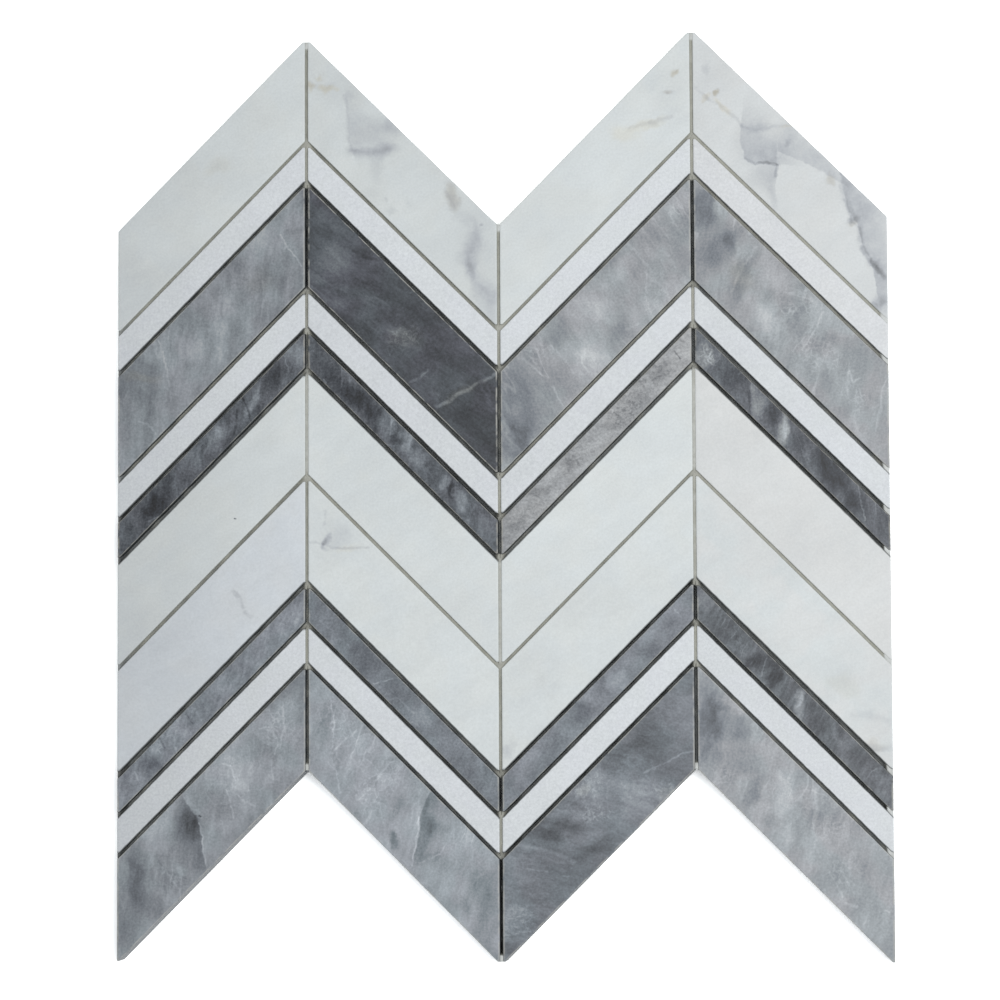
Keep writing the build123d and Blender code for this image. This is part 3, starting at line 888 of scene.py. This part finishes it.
# Values that all chips share: sizes of the patterns in millimetres, and the finish of their surface
finish = {
    "drift": (8, 3.6),                   # size and reach of the bends of a patch
    "ragged": (1.8, 1.0, 3.0),           # size, reach and detail of its ragged edge
    "smokeSize": 3.5,                    # mottling inside the patches
    "drawnSize": 2.6,                    # the same where patches follow the streaks
    "streakSize": 5,
    "lineSize": 1.3,
    "grainSize": 0.8,
    "wispSize": 11,
    "fleckSize": 1.3,
    "crackleSize": 2.8,
    "brecciaSize": 6.5,
    "edgeReach": (-62, -140),            # where the painted shade of an edge starts and ends
    "edgeMiddle": 0.46,                  # where the painted shade leaves the tone as it is, as a share of the fall
    "rust": (0.97, 0.86, 0.66, 1.0),     # warm spots are multiplied by this
    "sawnShare": 0.6,
    # painted shade of the deep joints, on the sides and arrises of the chips beside them
    "paintedShadeColour": seen(58, 63, 65),
    "paintedShadeShare": 0.85,
    "specular": 0.35,
    "bumpHeight": 0.02,
}


def ellipse(place, spot, rim=(1.1, 0.3)):
    # 1 in the middle of a turned ellipse, falling to 0 at its rim
    x, y, long, wide, turn = spot[:5]
    own = turned(place, (x, y), turn, (long, wide, 1))
    return smooth(lengthOf(own), *rim)


def dot(first, second):
    return first.node("VectorMath", {"operation": "DOT_PRODUCT"}, {0: first, 1: second}, "Value")


def lineDistance(place, points, sided=False):
    # distance to the nearest of the straight runs between the points,
    # and how far the place lies to the left of that run
    nearest, side = None, None
    for start, end in zip(points[:-1], points[1:]):
        run = np.subtract(end, start)
        offset = vectorMaths("SUBTRACT", place, (*start, 0))
        share = dot(offset, (*(run / (run @ run)), 0))
        share = share.node("Math", {"operation": "MULTIPLY", "use_clamp": True}, {0: share, 1: 1.0})
        foot = share.node("VectorMath", {"operation": "SCALE"}, {0: (*run, 0), "Scale": share})
        gap = lengthOf(vectorMaths("SUBTRACT", offset, foot))
        left = dot(offset, (-run[1] / np.hypot(*run), run[0] / np.hypot(*run), 0)) if sided else gap
        if nearest is None:
            nearest, side = gap, left
        else:
            side = side + (left - side) * gap.maths("LESS_THAN", gap, nearest) if sided else None
            nearest = gap.maths("MINIMUM", gap, nearest)
    return nearest, side


def marble(row, column):
    # the tone is the stone's own plus clouds, streaks, grain, lines, wisps and what the chip shows;
    # the colour is that tone as a grey, times a tint that leans with the tone
    stone = {**stones[rowNames[row - 1]], **looks.get((row, column), {})}
    material, place, shader = newMaterial(f"marbleRow{row:02d}Col{column}")
    rng = np.random.default_rng(1000 + 10 * row + column)
    block = vectorMaths("ADD", place, tuple(rng.uniform(-900, 900, 3)))      # where it was quarried
    flat = vectorMaths("MULTIPLY", place, (1, 1, 0))
    drift = vectorMaths("SUBTRACT", warped(block, *finish["drift"]), block)
    ragged = vectorMaths("SUBTRACT", warped(block, *finish["ragged"]), block)
    shape = vectorMaths("ADD", flat, vectorMaths("ADD", drift, ragged))
    thread = vectorMaths("ADD", flat, vectorMaths("ADD", stretched(drift, 0.2), stretched(ragged, 0.7)))
    shape = vectorMaths("MULTIPLY", shape, (1, 1, 0))
    thread = vectorMaths("MULTIPLY", thread, (1, 1, 0))

    # clouds, streaks and grain
    cloudSize, cloudChange = stone["cloud"]
    angle, stretch, streakChange = stone["streak"]
    cloud = noise(warped(block, cloudSize, 0.3 * cloudSize), cloudSize, stone["cloudDetail"], 0.55) - 0.5
    along = turned(warped(block, 12, 2.0), (0, 0), angle, (stretch, 1, 1))
    streak = noise(along, finish["streakSize"], 4.0, 0.6) - 0.5
    grain = noise(block, finish["grainSize"], 2.0, 0.6) - 0.5
    tone = stone["tone"] + cloud * (2 * cloudChange) + streak * (2 * streakChange)
    tone = tone + grain * (2 * stone["grain"])
    if stone["lines"]:
        drawn = turned(warped(block, 4, 0.8), (0, 0), angle, (4, 1, 1))
        line = noise(drawn, finish["lineSize"], 3.0, 0.65) - 0.5
        tone = tone + line * (2 * stone["lines"])
    if stone["wisps"]:
        ridge = noise(warped(along, 9, 3.0), finish["wispSize"], 3.0, 0.5) - 0.5
        wisp = smooth(ridge.maths("ABSOLUTE", ridge), 0.03, 0.0) * smooth(noise(block, 18, 1.0), 0.45, 0.65)
        tone = tone + wisp * stone["wisps"]
    # painted shade: the left column's white chips darken towards the sheet's left edge, where the light
    # falls off
    if "edge" in stone:
        paintedFalloff = smooth(dot(flat, (1, 0, 0)), *finish["edgeReach"])
        tone = tone + (finish["edgeMiddle"] - paintedFalloff) * stone["edge"]

    # patches, veins and fine patterns where this chip has them
    if stone["drawn"]:
        smoke = 0.4 + 1.2 * noise(along, finish["drawnSize"], 3.0, 0.6)
    else:
        smoke = 0.3 + 1.4 * noise(block, finish["smokeSize"], 4.0, 0.6)
    for spot in stone.get("patches", []):
        tone = tone + ellipse(shape, spot, stone["rim"]) * smoke * (stone["depth"] * spot[5])
    for points, reach, change in stone.get("shades", []):
        gap, side = lineDistance(thread, points, True)
        tone = tone + smooth(side, -0.2, 0.5) * smooth(gap, reach, 0.0) * smoke * change
    broken = 0.3 + 0.7 * smooth(noise(block, 3, 3.0, 0.6), 0.3, 0.56)
    for points, width, change in stone.get("veins", []):
        gap = lineDistance(thread, points)[0]
        tone = tone + smooth(gap, width, 0.1 * width) * broken * change
    if "flecks" in stone:
        fleck = smooth(noise(warped(block, 2, 1.0), finish["fleckSize"], 4.0, 0.7), 0.46, 0.62)
        for spot in stone["flecks"]:
            tone = tone + ellipse(shape, spot) * fleck * spot[5]
    if "crackle" in stone:
        cells = {"Vector": warped(block, 2.2, 1.8, 3.0), "Scale": 1 / finish["crackleSize"]}
        web = smooth(block.node("TexVoronoi", {"feature": "DISTANCE_TO_EDGE"}, cells), 0.15, 0.0)
        web = web * smooth(noise(block, 5, 3.0, 0.6), 0.3, 0.65)
        for spot in stone["crackle"]:
            tone = tone + ellipse(shape, spot) * web * spot[5]
    if "breccia" in stone:   # angular fragments of a tone of their own, with pale edges
        cells = {"Vector": warped(block, 5, 3.2, 3.0), "Scale": 1 / finish["brecciaSize"]}
        rift = smooth(block.node("TexVoronoi", {"feature": "DISTANCE_TO_EDGE"}, cells), 0.07, 0.01)
        shard = dot(block.node("TexVoronoi", {"feature": "F1"}, cells, "Color"), (1, 0, 0)) - 0.5
        for spot in stone["breccia"]:
            tone = tone + ellipse(shape, spot) * (shard * 2.6 + rift * broken) * spot[5]

    # tone to colour: darker and lighter parts have a tint of their own, warm spots lean to rust
    own = stone["tone"]
    grey = (tone.maths("MAXIMUM", tone, 4.0) / 255) ** screenGamma
    hue = smooth(noise(warped(block, 12, 4.0), 12, 2.0), 0.38, 0.62)
    lean = coloured(hue, tinted(stone["tint"]), tinted(stone["otherTint"]))
    lean = coloured(smooth(tone, own, own - 40), lean, tinted(stone["darkTint"]))
    lean = coloured(smooth(tone, own + 10, own + 40), lean, tinted(stone["lightTint"]))
    colour = coloured(1.0, grey, lean, "MULTIPLY")
    for spot in stone.get("warm", []):
        mask = ellipse(shape, spot) * spot[5]
        colour = coloured(mask, colour, coloured(1.0, colour, finish["rust"], "MULTIPLY"))

    # sawn sides, arrises lighter from wear and painted highlight, and painted shade beside deep joints
    sawn = attribute(colour, "sawn")
    colour = coloured(sawn * finish["sawnShare"], colour, stone["sawnColour"])
    # the arrises are lighter, partly from wear of the sawn edge and partly as a painted highlight where they
    # catch the light
    wearAndHighlight = attribute(colour, "arris") * smooth(noise(block, 3, 2.0), 0.3, 0.6) * stone["arrisWearAndHighlightShare"]
    colour = coloured(wearAndHighlight, colour, stone["arrisWearAndHighlightColour"])
    # painted shade next to the deep joints
    paintedJointShade = attribute(colour, "paintedJointShade") * finish["paintedShadeShare"]
    plug(coloured(paintedJointShade, colour, finish["paintedShadeColour"]), shader.inputs["Base Color"])
    plug(stone["rough"] + grain * 0.2 + sawn * 0.25, shader.inputs["Roughness"])
    shader.inputs["Specular IOR Level"].default_value = finish["specular"]
    relief = {"Strength": 0.2, "Distance": finish["bumpHeight"] * mm, "Height": grain * (1 + 6 * sawn)}
    plug(grain.node("Bump", {}, relief), shader.inputs["Normal"])
    return material


# Resin that has come up into the joints from the mesh

resin = {
    "low": 0.3,              # height of its underside, down among the yarns
    "overlap": 0.08,         # how far it reaches into the stone, so that no gap shows
    "leanOverlap": 0.112,    # the same in the leaning joints, measured along y
    "endGap": 0.05,          # how far inside the sides of the sheet its joints end
    "seamEndGap": 0.1,       # how far inside the zigzag ends its seams end
    "step": 0.5,
    "across": 7,             # points across its top
    "crown": 0.12,           # the middle stands this far above the edges
    "depths": {              # of its top below the face, in the joint under each row, by column
        1: (1.35, 1.9, 1.45, 0.75),
        2: (2.5, 4.8, 2.5, 1.7),
        3: (2.0, 3.7, 1.8, 2.7),
        4: (3.3, 5.2, 3.1, 3.8),
        5: (3.0, 4.1, 2.8, 4.8),
        6: (2.1, 1.0, 1.55, 0.75),
        7: (3.4, 2.7, 5.6, 3.6),
        8: (2.7, 3.4, 4.6, 5.0),
        9: (3.0, 2.8, 6.2, 2.6),
    },
    "seams": {               # the same in the seams beside each row, from the left
        1: (1.1, 0.95, 0.7),
        2: (0.85, 0.9, 0.6),
        3: (3.6, 2.6, 4.4),
        4: (1.1, 0.75, 0.6),
        5: (2.2, 2.8, 3.5),
        6: (0.35, 0.3, 0.2),
        7: (0.95, 1.1, 0.45),
        8: (2.1, 4.4, 4.8),
        9: (0.9, 0.95, 0.7),
        10: (2.5, 5.5, 3.4),
    },
    "varies": 0.2,           # share by which a depth comes and goes
    "wave": 9,
    "crossing": 1.1,         # depth where a joint meets a seam at a broken grey tip
    "crossingWhite": 0.85,
    "crossingDark": 2.2,
    "crossingReach": 2.2,
    "crossingPale": 0.2,
    "plug": 0.1,             # depth at the right-hand ends of the joints and at the ends of the seams
    "plugReach": 3.0,
    "plugFade": 0.7,
    "plugPale": 1.0,
    "seamPlugPale": 0.8,
    "lip": 0.7,              # depth at the left-hand ends of the joints
    "lipReach": 1.4,
    "lipFade": 0.8,
    "endReach": 5.0,         # how far the painted shade at the left-hand ends of the joints reaches in
    "endFade": 2.5,
    "shadedFrom": 1.8,       # depth at which its painted shade starts to darken it, and over which it does
    "shadedOver": 1.2,
    "paleFrom": 0.55,        # depth at which it starts to look paler in the seams
    "paleOver": 0.2,
    "paleShare": 0.4,
    "colour": seen(174, 174, 165),
    "deepShadeColour": seen(150, 154, 154),
    "endShadeColour": seen(70, 72, 73),
    "paleColour": seen(216, 219, 218),
    "dustColour": seen(142, 141, 132),
}


def resinStrip(stations, sides, depth, paleAndShade, top, upright):
    # a closed bar along the stations: at each one a row of points goes across from one side to
    # the other at the depth below the face, crowned as a parabola, and returns along the underside
    share = np.linspace(0, 1, resin["across"])[None, :]
    across = sides[0][:, None] * (1 - share) + sides[1][:, None] * share
    height = top - depth[:, None] - resin["crown"] * (2 * share - 1) ** 2
    across = np.concatenate([sides[0][:, None], across, sides[1][:, None]], 1)
    floor = np.full((len(stations), 1), resin["low"])
    height = np.concatenate([floor, height, floor], 1)
    along = np.repeat(stations[:, None], across.shape[1], 1)
    points = np.stack([across, along, height] if upright else [along, across, height], -1)
    poles = points[[0, -1]].mean(1)
    quads, tris = ringFaces(len(stations), across.shape[1])
    level = np.concatenate([np.repeat(paleAndShade, across.shape[1]), paleAndShade[[0, -1]]])
    return np.concatenate([points.reshape(-1, 3), poles]), quads, tris, level


def jointLines(row, column):
    # the joint under a row: heights of its upper and lower side at the low end of the column
    upper, upperHigh = nodeBox(chipNode(row, column))
    lower, lowerHigh = nodeBox(chipNode(row + 1, column))
    drop = chipShape["tipFlat"] * chipShape["lean"]
    rise = (upperHigh[0] - upper[0]) * chipShape["lean"]
    return upper[1] - drop, lowerHigh[1] + drop - rise, upper[0], upperHigh[0]


def crossingDepth(row, highEnd):
    # the dab at a crossing stands high where both rows are white or where the broken tip is grey
    broken = rowNames[row] if highEnd else rowNames[row - 1]
    other = rowNames[row - 1] if highEnd else rowNames[row]
    if "white" not in broken:
        return resin["crossing"]
    return resin["crossingWhite"] if "white" in other else resin["crossingDark"]


def nearness(distance, reach, fade):
    # 1 up to the reach less the fade, 0 from the reach on, an S-curve between
    near = np.clip((reach - distance) / fade, 0, 1)
    return near * near * (3 - 2 * near)


def blended(first, second, share):
    return first * (1 - share) + second * share


def uneven(depth, along, length, rng):
    return depth * (1 + resin["varies"] * ripple(along, length, resin["wave"], rng))


def paintedShadeLevel(depth):
    # painted shade: 0 where the resin stands high, down to -1 where it lies deep
    return -np.clip((depth - resin["shadedFrom"]) / resin["shadedOver"], 0, 1)


def rowJoint(row, column, rng):
    # the joint under a row, in one column: its sides follow the leaning edges of the chips,
    # and its depth is the joint's own, waved a little and blended to a set depth near the ends
    above, below, left, right = jointLines(row, column)
    width = right - left
    seam = 0.5 * (nodeBox(chipNode(row, 2))[0][0] - nodeBox(chipNode(row, 1))[1][0])
    start = left + resin["endGap"] if column == 1 else left - seam
    end = right - resin["endGap"] if column == columnCount else right + seam
    x = np.linspace(start, end, int((end - start) / resin["step"]))
    along = np.clip(x - left if column % 2 else right - x, 0, width)
    tip = chipShape["tipFlat"]
    rise = along * chipShape["lean"]
    upper = above + np.maximum(rise, tip * chipShape["lean"]) + resin["leanOverlap"]
    lower = below + np.minimum(rise, (width - tip) * chipShape["lean"]) - resin["leanOverlap"]
    lower = lower - setBack(row + 1, column)
    depth = uneven(resin["depths"][row][column - 1], x - start, end - start, rng)
    paleAndShade = paintedShadeLevel(depth)
    if column == 1:
        # painted shade at the left-hand ends of the joints, by the sheet's side
        paleAndShade = paleAndShade - nearness(x - left, resin["endReach"], resin["endFade"])
        depth = blended(depth, resin["lip"], nearness(x - left, resin["lipReach"], resin["lipFade"]))
    for place, highEnd in ((left, column % 2 == 0), (right, column % 2 == 1)):
        if place == right and column == columnCount:
            near = nearness(np.abs(x - place), resin["plugReach"], resin["plugFade"])
            depth = blended(depth, resin["plug"], near)
            paleAndShade = blended(paleAndShade, resin["plugPale"], near)
        elif place == right or column > 1:
            near = nearness(np.abs(x - place), resin["crossingReach"], resin["crossingReach"])
            depth = blended(depth, crossingDepth(row, highEnd), near)
            paleAndShade = blended(paleAndShade, resin["crossingPale"], near)
    return resinStrip(x, (upper, lower), depth, paleAndShade, nodeBox(chipNode(row, column))[1][2], False)


def seamJoint(column, rng):
    # the seam to the right of a column, from the foot of the last row to the head of the first:
    # straight sides, the depth of each row beside it, and a set depth at the crossings and ends
    first, firstHigh = nodeBox(chipNode(1, column))
    last = nodeBox(chipNode(rowCount, column))[0]
    right = firstHigh[0]
    middle = 0.5 * (right + nodeBox(chipNode(1, column + 1))[0][0])
    half = middle - right + resin["overlap"]
    drop = chipShape["tipFlat"] * chipShape["lean"]
    rise = (right - first[0]) * chipShape["lean"]
    highEnd = column % 2 == 1
    if highEnd:
        lift, top, foot = rise, firstHigh[1], last[1] - drop + rise
    else:
        lift, top, foot = 0, firstHigh[1] + drop - rise, last[1]
    y = np.linspace(foot + resin["seamEndGap"], top - resin["seamEndGap"], int((top - foot) / resin["step"]))
    depth = np.zeros_like(y)
    crossings = [0.5 * sum(jointLines(row, column)[:2]) + lift for row in range(1, rowCount)]
    bounds = [top] + crossings + [foot]
    for row in range(1, rowCount + 1):
        beside = (y <= bounds[row - 1]) & (y >= bounds[row])
        depth[beside] = resin["seams"][row][column - 1]
    depth = uneven(depth, y - foot, top - foot, rng)
    high = np.clip((resin["paleFrom"] - depth) / resin["paleOver"], 0, 1)
    paleAndShade = resin["paleShare"] * high + paintedShadeLevel(depth)
    for row, place in enumerate(bounds):
        away = np.abs(y - place)
        if place in (top, foot):
            near = nearness(away, resin["plugReach"], resin["plugFade"])
            depth = blended(depth, resin["plug"], near)
            paleAndShade = blended(paleAndShade, resin["seamPlugPale"], near)
        else:
            near = nearness(away, resin["crossingReach"], resin["crossingReach"])
            depth = blended(depth, crossingDepth(row, highEnd), near)
            paleAndShade = blended(paleAndShade, resin["crossingPale"], near)
    side = np.full_like(y, half)
    return resinStrip(y, (middle - side, middle + side), depth, paleAndShade, firstHigh[2], True)


def resinMaterial():
    # the paleAndShade attribute runs from -2 at the painted-shade left ends over -1 for painted shade in
    # deep joints, and 0 to 1 where it is pale
    material, place, shader = newMaterial("jointResin")
    paleAndShade = attribute(place, "paleAndShade")
    mottle = noise(place, 2.2, 3.0, 0.6)
    # painted shade: darker where the resin lies deep, and darker still at the left-hand ends of the joints
    colour = coloured(smooth(paleAndShade, 0.0, -1.0), resin["colour"], resin["deepShadeColour"])
    colour = coloured(smooth(paleAndShade, -1.0, -2.0) * 0.8, colour, resin["endShadeColour"])
    colour = coloured(smooth(paleAndShade, 0.0, 1.0), colour, resin["paleColour"])
    colour = coloured(smooth(mottle, 0.3, 0.7) * 0.35, colour, resin["dustColour"])
    plug(colour, shader.inputs["Base Color"])
    shader.inputs["Roughness"].default_value = 0.7
    shader.inputs["Specular IOR Level"].default_value = 0.2
    bump = mottle.node("Bump", {}, {"Strength": 0.5, "Distance": 0.1 * mm, "Height": mottle})
    plug(bump, shader.inputs["Normal"])
    return material


def joined(strips):
    # the strips' points and faces as one mesh
    starts = np.cumsum([0] + [len(strip[0]) for strip in strips])
    points = np.concatenate([strip[0] for strip in strips])
    quads = np.concatenate([strip[1] + start for strip, start in zip(strips, starts)])
    tris = np.concatenate([strip[2] + start for strip, start in zip(strips, starts)])
    return points, quads, tris


def makeResin():
    rng = np.random.default_rng(41)
    places = [(row, column) for row in range(1, rowCount) for column in range(1, columnCount + 1)]
    strips = [rowJoint(row, column, rng) for row, column in places]
    strips += [seamJoint(column, rng) for column in range(1, columnCount)]
    level = np.concatenate([strip[3] for strip in strips])
    piece = makePiece("joint_resin", *joined(strips), resinMaterial(), {"paleAndShade": level})


# Mesh backing: two layers of flat glass-fibre yarns

yarn = {
    "width": 0.8,
    "longCount": 56,
    "crossCount": 66,
    "seamHalf": 0.5,         # half of the seam that the zigzag turns in
    "around": 8,
    "step": 3.0,
    "wander": 0.12,          # how far a yarn strays from straight
    "wave": 40,
    "search": 0.05,          # step of the search for the ends of the cross yarns
    "colour": seen(214, 213, 204),
    "darkColour": (0.66, 0.66, 0.66, 1.0),
}


def yarnTube(start, end, middle, low, high, upright, slants, rng):
    # an oval bar from start to end: the section is an ellipse, and each end is cut at a slant
    count = max(3, int((end - start) / yarn["step"]))
    share = np.linspace(0, 1, count)[:, None]
    angle = np.linspace(0, 2 * np.pi, yarn["around"], endpoint=False)[None, :]
    sway = yarn["wander"] * ripple(share[:, 0] * (end - start), end - start, yarn["wave"], rng)[:, None]
    half = yarn["width"] / 2 - yarn["wander"]
    aside = sway + half * np.cos(angle)
    height = (low + high) / 2 + (high - low) / 2 * np.sin(angle) + 0 * share
    along = start + slants[0] * aside + share * (end - start + (slants[1] - slants[0]) * aside)
    aside = aside + middle
    if upright:
        points = np.stack([aside, along, height], -1)[:, ::-1]
    else:
        points = np.stack([along, aside, height], -1)
    poles = points[[0, -1]].mean(1)
    quads, tris = ringFaces(count, yarn["around"])
    return np.concatenate([points.reshape(-1, 3), poles]), quads, tris


def zigzag(x):
    # height of the mesh's ends above its lowest point: a triangle wave over two columns
    left = nodeBox(chipNode(1, 1))[0][0]
    pitch = nodeBox(chipNode(1, 2))[0][0] - left
    middle = left + columnCount / 2 * pitch - yarn["seamHalf"]
    phase = np.abs(x - middle) / pitch % 2
    return pitch * chipShape["lean"] * (1 - np.abs(1 - phase))


def makeYarns(material):
    # long yarns from the lower zigzag to the upper one, and cross yarns wherever a level line
    # lies between the two zigzags
    rng = np.random.default_rng(17)
    low, high = nodeBox("mesh_long_yarns")
    half = yarn["width"] / 2
    longPlaces = np.linspace(low[0] + half, high[0] - half, yarn["longCount"])
    rise = (nodeBox(chipNode(1, 2))[0][0] - nodeBox(chipNode(1, 1))[0][0]) * chipShape["lean"]
    strips = []
    for x in longPlaces:
        ends = low[1] + zigzag(x), high[1] - rise + zigzag(x)
        slant = np.sign(zigzag(x + 0.01) - zigzag(x))
        strips.append(yarnTube(*ends, x, low[2], high[2], True, (slant, slant), rng))
    piece = makePiece("mesh_long_yarns_glass", *joined(strips), material)
    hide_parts("mesh_long_yarns")

    crossLow, crossHigh = nodeBox("mesh_cross_yarns")
    fine = np.arange(low[0], high[0], yarn["search"])
    foot = low[1] + zigzag(fine)
    strips = []
    for y in np.linspace(crossLow[1] + half, crossHigh[1] - half, yarn["crossCount"]):
        inside = (y > foot) & (y < foot + high[1] - low[1] - rise)
        change = np.flatnonzero(np.diff(np.concatenate([[0], inside.astype(int), [0]])))
        for first, last in zip(change[::2], change[1::2] - 1):
            ends = fine[first], fine[last]
            if ends[1] - ends[0] < yarn["width"]:
                continue
            slants = [0 if abs(end - edge) < 0.2 else np.sign(zigzag(end + 0.01) - zigzag(end))
                      for end, edge in zip(ends, (low[0], high[0]))]
            strips.append(yarnTube(*ends, y, crossLow[2], crossHigh[2], False, slants, rng))
    piece = makePiece("mesh_cross_yarns_glass", *joined(strips), material)
    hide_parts("mesh_cross_yarns")


def yarnMaterial():
    material, place, shader = newMaterial("glassFibre")
    fibres = noise(place, 0.12, 2.0)
    plug(coloured(fibres, yarn["darkColour"], yarn["colour"]), shader.inputs["Base Color"])
    shader.inputs["Roughness"].default_value = 0.5
    bump = fibres.node("Bump", {}, {"Strength": 0.4, "Distance": 0.04 * mm, "Height": fibres})
    plug(bump, shader.inputs["Normal"])
    return material


makeCamera()
makeStudio()
print("camera, light and floor made")
for row in range(1, rowCount + 1):
    for column in range(1, columnCount + 1):
        chip = makeChip(row, column, marble(row, column))
print("chips made")
makeResin()
makeYarns(yarnMaterial())
print("resin and mesh made")

view = bpy.context.scene.view_settings
view.view_transform = "Standard"
